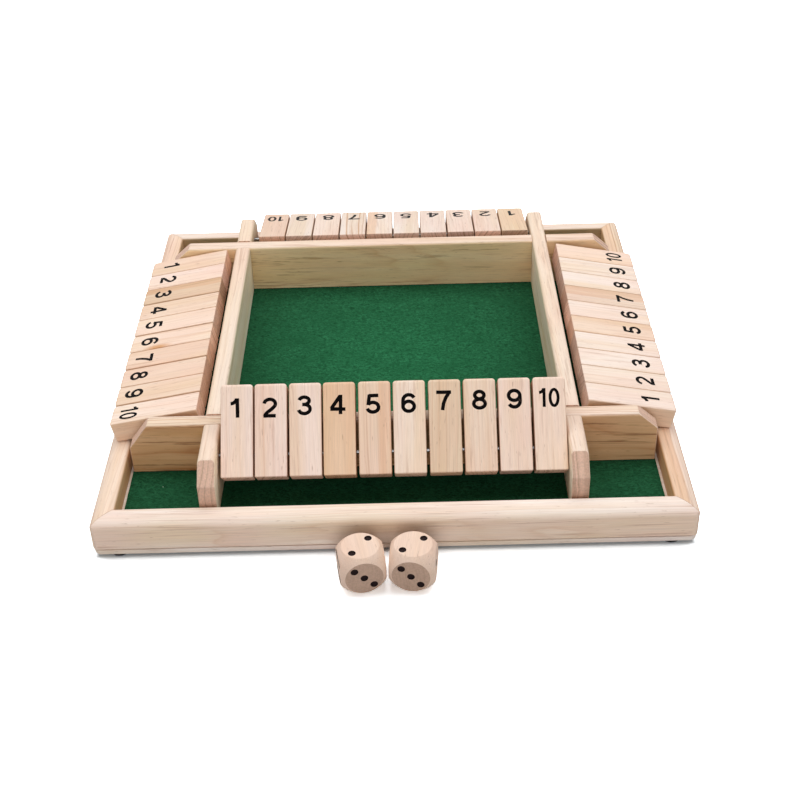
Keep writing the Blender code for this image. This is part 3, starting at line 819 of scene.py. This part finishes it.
def build_felt():
    """A square of felt with a slightly uneven nap, its underside flat."""
    low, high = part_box("felt_lining")
    size = high - low
    bm = bmesh.new()
    bmesh.ops.create_grid(bm, x_segments=FELT_GRID, y_segments=FELT_GRID, size=1,
                          matrix=Matrix.Diagonal((size.x / 2, size.y / 2, 1, 1)))
    for vertex in bm.verts:
        swell = noise.fractal(vertex.co / FELT_WAVE, *FELT_FRACTAL)
        vertex.co.z = size.z / 2 - FELT_UNEVENNESS * min(1, max(0, 0.5 - swell))
    rim = [edge for edge in bm.edges if edge.is_boundary]
    drawn = bmesh.ops.extrude_edge_only(bm, edges=rim)["geom"]
    for part in drawn:
        if isinstance(part, bmesh.types.BMVert):
            part.co.z = -size.z / 2
    edges = [part for part in drawn if isinstance(part, bmesh.types.BMEdge)]
    bmesh.ops.edgeloop_fill(bm, edges=[edge for edge in edges if edge.is_boundary])
    place = Matrix.Translation((low + high) / 2)
    add_piece("felt_lining", "cloth", to_mesh(bm, "felt"), place, "tray", (felt(),))


def is_top_wall(side, end):
    """Whether this side's wall runs on top at the crossing by its start (-1) or its far end (1)."""
    index = SIDES.index(side)
    return TOP_WALLS[index if end > 0 else index - 1] == side


def block(low, high, name):
    """A plain box mesh between two corners, to cut with."""
    low = Vector(low)
    high = Vector(high)
    middle = Matrix.Translation((low + high) / 2)
    bm = bmesh.new()
    bmesh.ops.create_cube(bm, size=1, matrix=middle @ Matrix.Diagonal((*(high - low), 1)))
    return to_mesh(bm, name)


def wall_mesh(side, low, high):
    """A bar with rounded edges and chamfered ends, notched for the half laps, with blind bores for rods."""
    height = high.z - low.z
    section = arc((high.y - WALL_ROUND, high.z - WALL_ROUND), WALL_ROUND, WALL_ROUND, 0, 90, 7)
    section += arc((low.y + WALL_ROUND, high.z - WALL_ROUND), WALL_ROUND, WALL_ROUND, 90, 180, 7)
    section += [(low.y, low.z), (high.y, low.z)]
    bm = prism([(-WALL_END, y, z) for y, z in section], (2 * WALL_END, 0, 0))
    for end in (-1, 1):
        drop = STEEP_CHAMFER_DROP if side == "front" and end < 0 else CHAMFER_DROP
        slice_off(bm, Vector((end * WALL_END, 0, high.z - drop)), Vector((end * drop, 0, CHAMFER_RUN)))
    bmesh.ops.recalc_face_normals(bm, faces=bm.faces)
    bm.edges.index_update()
    ends = {edge for face in bm.faces if abs(face.normal.x) > 0.5 for edge in face.edges}
    rims = [edge for edge in ends if min(vertex.co.z for vertex in edge.verts) > low.z + LAP_GAP
            or abs(edge.verts[0].co.z - edge.verts[1].co.z) > height / 4]
    round_edges(bm, sorted(rims, key=lambda edge: edge.index), WALL_END_ROUND, 3)
    mesh = to_mesh(bm, f"wall_{side}")

    depth = BORE_END - (WALL_MIDDLE - WALL_THICKNESS / 2)
    half = WALL_THICKNESS / 2 + LAP_GAP
    cutters = []
    for end in (-1, 1):
        turn = Matrix.Translation((end * ROD_DISTANCE, high.y, ROD_Z)) @ Matrix.Rotation(math.pi / 2, 4, "X")
        cutters.append(to_mesh(cylinder(BORE_RADIUS, 2 * depth, BORE_SIDES, turn), "bore"))
        if is_top_wall(side, end):
            bottom = low.z - OVERRUN
            top = low.z + (height + LAP_GAP) / 2
        else:
            bottom = low.z + (height - LAP_GAP) / 2
            top = high.z + OVERRUN
        middle = end * WALL_MIDDLE
        near = (middle - half, low.y - OVERRUN, bottom)
        far = (middle + half, high.y + OVERRUN, top)
        cutters.append(block(near, far, "notch"))
    return carve(mesh, cutters)


def build_walls():
    for order, side in enumerate(SIDES):
        node = f"wall_{side}"
        low, high = side_box(node, side)
        figure, ring_width, tint, scars = WALL_LOOKS[side]
        # The long sides' tint is painted light and shade
        wood = pine(f"pine_{node}", "wall", "X", SEEDS["wall"] + order, figure, ring_width=ring_width,
                    streaks=0.8, side_tone_and_painted_light=(AXES["Y"], tint), end_from=0.5, pith_side=0, scars=scars)
        add_piece(node, "wood", wall_mesh(side, low, high), side_frames[side], "tray", (wood,))


def build_rods():
    metal = steel()
    for side in SIDES:
        node = f"pivot_rod_{side}"
        low, high = side_box(node, side)
        radius = (high.z - low.z) / 2
        half = (high.x - low.x) / 2
        inner = radius - ROD_END_ROUND
        profile = [(0, half)]
        profile += arc((inner, half - ROD_END_ROUND), ROD_END_ROUND, ROD_END_ROUND, 90, 0, 4)
        profile += arc((inner, ROD_END_ROUND - half), ROD_END_ROUND, ROD_END_ROUND, 0, -90, 4)
        profile.append((0, -half))
        mesh = to_mesh(lathe(profile, ROD_SIDES), node)
        turn = Matrix.Translation((low + high) / 2) @ Matrix.Rotation(math.pi / 2, 4, "Y")
        add_piece(node, "steel", mesh, side_frames[side] @ turn, "tray", (metal,))


def build_feet():
    black = rubber()
    for corner in ("front_left", "front_right", "back_right", "back_left"):
        node = f"foot_{corner}"
        low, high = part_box(node)
        radius = (high.x - low.x) / 2
        height = high.z - low.z
        top_middle = (radius - FOOT_TOP_ROUND, height - FOOT_TOP_ROUND)
        profile = [(0, height)]
        profile += arc(top_middle, FOOT_TOP_ROUND, FOOT_TOP_ROUND, 90, 0, 3)
        profile += arc((radius - FOOT_ROUND, FOOT_ROUND), FOOT_ROUND, FOOT_ROUND, 0, -90, 5)
        profile.append((0, 0))
        mesh = to_mesh(lathe(profile, FOOT_SIDES), node)
        place = Matrix.Translation(((low.x + high.x) / 2, (low.y + high.y) / 2, low.z))
        add_piece(node, "rubber", mesh, place, "tray", (black,))


def half_turned(strokes):
    """The same strokes, a half turn round."""
    return [([(DIGIT_SIZE[1] - x, 1 - y) for x, y in path], closed) for path, closed in strokes]


# The middle lines of each number's strokes in a box one high, each with whether it is closed
SIX = [(ring((0.365, 0.33), 0.285, 0.255), True),
       (arc((0.375, 0.63), 0.295, 0.295, 28, 180, 12) + [(0.08, 0.45), (0.08, 0.33)], False)]
NUMBER_STROKES = {
    1: [([(0.40, 0), (0.40, 1)], False),
        (arc((0.07, 1.045), 0.31, 0.31, -92, -12, 8), False)],
    2: [(arc((0.355, 0.69), 0.285, 0.235, 176, -32, 16)
         + [(0.45, 0.42), (0.25, 0.27), (0.13, 0.15), (0.10, 0.06)], False),
        ([(0.03, 0.075), (0.66, 0.075)], False)],
    3: [(arc((0.345, 0.735), 0.255, 0.19, 168, -90, 16), False),
        (arc((0.345, 0.31), 0.29, 0.235, 90, -172, 18), False),
        ([(0.24, 0.545), (0.38, 0.545)], False)],
    4: [([(0.50, 0), (0.50, 1)], False),
        ([(-0.02, 0.262), (0.75, 0.262)], False),
        ([(0.48, 0.95), (0.035, 0.30)], False)],
    5: [([(0.145, 0.925), (0.64, 0.925)], False),
        ([(0.19, 0.98), (0.11, 0.44)], False),
        (arc((0.345, 0.325), 0.29, 0.25, 142, -168, 20), False)],
    6: SIX,
    7: [([(-0.01, 0.925), (0.745, 0.925)], False),
        ([(0.645, 0.97), (0.61, 0.86), (0.47, 0.64), (0.35, 0.34), (0.295, 0)], False)],
    8: [(ring((0.365, 0.735), 0.235, 0.19), True),
        (ring((0.365, 0.30), 0.29, 0.225, 28, 5), True)],
    9: half_turned(SIX),
    10: [([(0.29, 0), (0.29, 1)], False),
         (arc((0.04, 1.0), 0.23, 0.23, -92, -8, 8), False),
         (ring((0.81, 0.5), 0.208, 0.433), True)],
}


def add_ribbon(bm, path, half, closed, put):
    """A flat band of even width along a path, as a closed solid; put places (x, y, depth) in space."""
    rows = []
    count = len(path)
    for index, (x, y) in enumerate(path):
        before = path[index - 1] if closed or index else path[index]
        after = path[(index + 1) % count] if closed or index < count - 1 else path[index]
        along = Vector((after[0] - before[0], after[1] - before[1])).normalized()
        aside = Vector((-along.y, along.x)) * half
        section = ((1, -1), (1, 1), (-1, 1), (-1, -1))
        corners = [(x + sign * aside.x, y + sign * aside.y, depth) for sign, depth in section]
        rows.append([bm.verts.new(put(*corner)) for corner in corners])
    pairs = list(zip(rows, rows[1:])) + ([(rows[-1], rows[0])] if closed else [])
    for here, there in pairs:
        for index in range(4):
            following = (index + 1) % 4
            bm.faces.new((here[index], here[following], there[following], there[index]))
    if not closed:
        bm.faces.new(rows[0])
        bm.faces.new(rows[-1][::-1])


def stamp_meshes(side, number, low, high, materials):
    """The number's strokes as solids that dip into both broad faces of a tile. The number's top points to
    the rounded end on the outer face and to the rod on the inner face."""
    height, width_share, stroke = TEN_SIZE if number == TILES_IN_ROW else DIGIT_SIZE
    half = stroke / 2 / height
    draw = random.Random(f"{side} {number}")
    first, last = DIGITS_FROM_END[side]
    from_end = first + (last - first) * (number - 1) / (TILES_IN_ROW - 1)
    scatter = []
    for face in (-1, 1):
        across = draw.uniform(-DIGIT_SCATTER, DIGIT_SCATTER)
        along = draw.uniform(-DIGIT_SCATTER, DIGIT_SCATTER)
        tilt = Matrix.Rotation(math.radians(draw.uniform(-DIGIT_TILT, DIGIT_TILT)), 2)
        scatter.append((across, along, tilt))
    stamps = []
    for order, (path, closed) in enumerate(NUMBER_STROKES[number]):
        bm = bmesh.new()
        for face, (across, along, tilt) in zip((-1, 1), scatter):
            surface = high.y if face > 0 else low.y
            middle = high.z - from_end + along

            # Every further stroke is a tenth deeper, so that no two floors lie in one plane
            def put(x, y, depth):
                rise = DIGIT_DEPTH * (1 + order / 10) if depth < 0 else -OVERRUN
                flat = tilt @ Vector(((x - width_share / 2) * height, -face * (y - 0.5) * height))
                return (flat.x + across + DIGIT_SHIFT[side], surface - face * rise, middle + flat.y)

            add_ribbon(bm, path, half, closed, put)
        stamps.append(to_mesh(bm, f"stamp_{number}", materials, 1))
    return stamps


def tile_mesh(side, number, low, high, materials):
    """A tile upright on its rod: X across, Z towards the rounded end, the bore through its origin. Its long
    edges are eased a little and the far end is rounded like a nose."""
    half = (high.x - low.x) / 2
    corner = TILE_CORNER_RADIUS
    tail = TILE_TAIL_CORNER
    bm = bmesh.new()
    rows = []
    for face, surface in ((-1, low.y), (1, high.y)):
        turns = range(RIM_STEPS + 1) if face < 0 else range(RIM_STEPS, -1, -1)
        for turn in turns:
            angle = math.pi / 2 * turn / RIM_STEPS
            inset = 1 - math.sin(angle)
            side_in, nose_in, tail_in = (inset * reach for reach in
                                         (TILE_RIM_ROUND, TILE_NOSE_ROUND, TILE_TAIL_ROUND))
            y = surface - face * TILE_RIM_ROUND * (1 - math.cos(angle))
            outline = []
            for across, up, depth, start in ((1, high.z, corner, 0), (-1, high.z, corner, 90),
                                             (-1, low.z, tail, 180), (1, low.z, tail, 270)):
                end_in = nose_in if up > 0 else -tail_in
                radius_x, radius_z = depth - side_in, depth - abs(end_in)
                centre = (across * (half - side_in - radius_x), up - end_in - math.copysign(radius_z, up))
                outline += arc(centre, radius_x, radius_z, start, start + 90, 6 if up > 0 else 3)
            rows.append([bm.verts.new((x, y, z)) for x, z in outline])
    for here, there in zip(rows, rows[1:]):
        for index, vertex in enumerate(here):
            following = (index + 1) % len(here)
            bm.faces.new((vertex, here[following], there[following], there[index]))
    bm.faces.new(rows[0])
    bm.faces.new(rows[-1][::-1])
    blank = to_mesh(bm, f"tile_{side}_{number}", materials)
    bore = cylinder(BORE_RADIUS, 2 * half + 2 * OVERRUN, BORE_SIDES, Matrix.Rotation(math.pi / 2, 4, "Y"))
    stamps = stamp_meshes(side, number, low, high, materials)
    return carve(blank, [to_mesh(bore, "bore", materials), *stamps])


def tile_frame(side, node):
    """A tile's own frame at rest, read from its hinge and from the broadest face of its solid."""
    origin = Vector(hinges[node]["pos_m"])
    along = side_frames[side].to_3x3() @ Vector((1, 0, 0))
    broad = max(nodes[node].data.polygons, key=lambda face: face.area).normal
    up = along.cross(broad).normalized()
    low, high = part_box(node)
    if up.dot((low + high) / 2 - origin) < 0:
        up = -up
    across = up.cross(along)
    return Matrix.Translation(origin) @ Matrix((along, across, up)).transposed().to_4x4()


def build_tiles():
    """Forty tiles, each with its number and a piece of pine of its own."""
    black = ink()
    spare = pine("pine_spare", "pale", "Z", 1)
    low, high = local_box("tile_front_01", tile_frame("front", "tile_front_01"))
    for row, side in enumerate(SIDES):
        for order, (tone, figure) in enumerate(TILE_LOOKS[side]):
            number = order + 1
            tile = (side, number)
            node = f"tile_{side}_{number:02d}"
            knots = []
            if tile in TILE_KNOTS:
                from_edge, from_end, size = TILE_KNOTS[tile]
                knots.append(((high.x - from_edge, high.y, high.z - from_end), size))
            # The sides' tint is browner sawn wood and painted shade in the gaps between tiles
            wood = pine(f"pine_{node}", tone, "Z", SEEDS["tile"] + 17 * row + 3 * order, figure, knots,
                        TILE_RING_WIDTHS.get(tile, TILE_RING_WIDTH), 0.6, (AXES["X"], TILE_SIDE_TINTS_AND_GAP_SHADE[side]),
                        pith_side=0, two_tone=TWO_TONED_TILES.get(tile), end_scatter=0.3)
            mesh = tile_mesh(side, number, low, high, (spare, black))
            add_piece(node, "wood", mesh, tile_frame(side, node), node, (wood, black))


def die_mesh(size, materials):
    """A cube turned down to a ball at its corners, so each face is left as a disc, with drilled pips."""
    cube = bmesh.new()
    bmesh.ops.create_cube(cube, size=size)
    ball = bmesh.new()
    bmesh.ops.create_uvsphere(ball, u_segments=BALL_SIDES, v_segments=BALL_SIDES // 2,
                              radius=DIE_BALL_RADIUS)
    blank = carve(to_mesh(cube, "die", materials), [to_mesh(ball, "ball", materials)], "INTERSECT")
    pips = bmesh.new()
    profile = [(0, OVERRUN), (PIP_RADIUS, OVERRUN), (PIP_RADIUS, -PIP_STRAIGHT)]
    floor_middle = (PIP_RADIUS - PIP_FLOOR_ROUND, -PIP_STRAIGHT)
    profile += arc(floor_middle, PIP_FLOOR_ROUND, PIP_FLOOR_ROUND, -18, -90, 4)
    profile.append((0, -PIP_DEPTH))
    drill = to_mesh(lathe(profile, PIP_SIDES), "drill")
    for count, turn in DIE_FACES.items():
        for share_x, share_y in PIP_SHARES[count]:
            place = Matrix.Translation((share_x * PIP_OFFSET, share_y * PIP_OFFSET, size / 2))
            copy = bmesh.new()
            copy.from_mesh(drill)
            copy.transform(turn.to_matrix().to_4x4() @ place)
            whole = bpy.data.meshes.new("pip")
            copy.to_mesh(whole)
            copy.free()
            pips.from_mesh(whole)
    return carve(blank, [to_mesh(pips, "pips", materials, 1)])


def build_dice():
    paint = pip_paint()
    spare = bpy.data.materials["pine_spare"]
    low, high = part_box("die_left")
    mesh = die_mesh(high.z - low.z, (spare, paint))
    for order, (name, turn) in enumerate(DIE_TURNS.items()):
        node = f"die_{name}"
        low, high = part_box(node)
        wood = pine(f"beech_{node}", "die", "Y", SEEDS["die"] + order, 0.08, ring_width=2.2 * MM,
                    streaks=0.2, banding=0.3, end_tints=DIE_END_TINTS)
        place = Matrix.Translation((low + high) / 2) @ Matrix.Rotation(math.radians(turn), 4, "Z")
        add_piece(node, "wood", mesh, place, node, (wood, paint))


def camera_sees(tree):
    """One for rays from the camera, and for those that gloss and glass send on, or nothing."""
    path = tree.nodes.new("ShaderNodeLightPath")
    total = path.outputs["Is Camera Ray"]
    for name in ("Is Glossy Ray", "Is Transmission Ray"):
        either = tree.nodes.new("ShaderNodeMath")
        either.operation = "MAXIMUM"
        tree.links.new(total, either.inputs[0])
        tree.links.new(path.outputs[name], either.inputs[1])
        total = either.outputs[0]
    return total


def build_floor():
    """A white floor that keeps the object's shadow, with a painted shadow under the tray."""
    bm = bmesh.new()
    bmesh.ops.create_circle(bm, cap_ends=True, segments=FLOOR_SIDES, radius=FLOOR_RADIUS)
    floor = add_object("floor", to_mesh(bm, "floor"))
    finish = Finish("white_floor")
    tree = finish.tree
    offset = finish.vector("SUBTRACT", finish.coordinates(), (tray_middle.x, tray_middle.y, 0))
    sides = tree.nodes.new("ShaderNodeSeparateXYZ")
    finish.put(sides.inputs[0], finish.vector("ABSOLUTE", offset))
    reach = finish.math("MAXIMUM", sides.outputs[0], sides.outputs[1])
    edge = (board_high.x - board_low.x) / 2
    # Painted shadow: darker to the camera under the tray's footprint, blending in at its edge
    level = finish.span(reach, edge - FLOOR_PAINTED_SHADOW_BLEND, edge, FLOOR_PAINTED_SHADOW_UNDER_TRAY, FLOOR_SEEN)
    camera = tree.nodes.new("ShaderNodeLightPath").outputs["Is Camera Ray"]
    shown = finish.mix(camera, (FLOOR_MIRRORED,) * 3 + (1,), finish.toned(level, FLOOR_TONE))
    colour = finish.mix(camera_sees(tree), (FLOOR_BOUNCE,) * 3 + (1,), shown)
    finish.surface(base_color=colour, roughness=1.0)
    finish.dull(0.0)
    floor.data.materials.append(finish.material)


def build_world():
    """Plain soft light from all round, white where the camera sees it."""
    world = bpy.data.worlds.new("studio")
    world.use_nodes = True
    tree = world.node_tree
    background = tree.nodes["Background"]
    level = tree.nodes.new("ShaderNodeMapRange")
    tree.links.new(camera_sees(tree), level.inputs[0])
    level.inputs[3].default_value = WORLD_LIGHT
    level.inputs[4].default_value = WORLD_SEEN
    background.inputs["Color"].default_value = (1, 1, 1, 1)
    tree.links.new(level.outputs[0], background.inputs["Strength"])
    bpy.context.scene.world = world


def add_lamp(name, place, target, size, power):
    """A soft oval lamp that points at its target."""
    lamp = bpy.data.lights.new(name, "AREA")
    lamp.shape = "ELLIPSE"
    lamp.size = size[0]
    lamp.size_y = size[1]
    lamp.energy = power
    obj = add_object(name, lamp)
    obj.location = place
    obj.rotation_euler = (Vector(target) - Vector(place)).to_track_quat("-Z", "Y").to_euler()


def build_camera():
    data = bpy.data.cameras.new("camera")
    data.lens = CAMERA_LENS
    data.sensor_width = CAMERA_SENSOR
    camera = add_object("camera", data)
    camera.location = Vector((tray_middle.x, tray_middle.y, 0)) + Vector(CAMERA_PLACE)
    camera.rotation_euler = [math.radians(angle) for angle in CAMERA_TURN]
    bpy.context.scene.camera = camera


build_camera()
build_board()
build_felt()
build_rails()
build_walls()
build_rods()
build_feet()
build_tiles()
build_dice()
build_floor()
build_world()
for lamp_name, traits in LAMPS.items():
    add_lamp(lamp_name, *traits)
bpy.context.scene.view_settings.view_transform = "Standard"
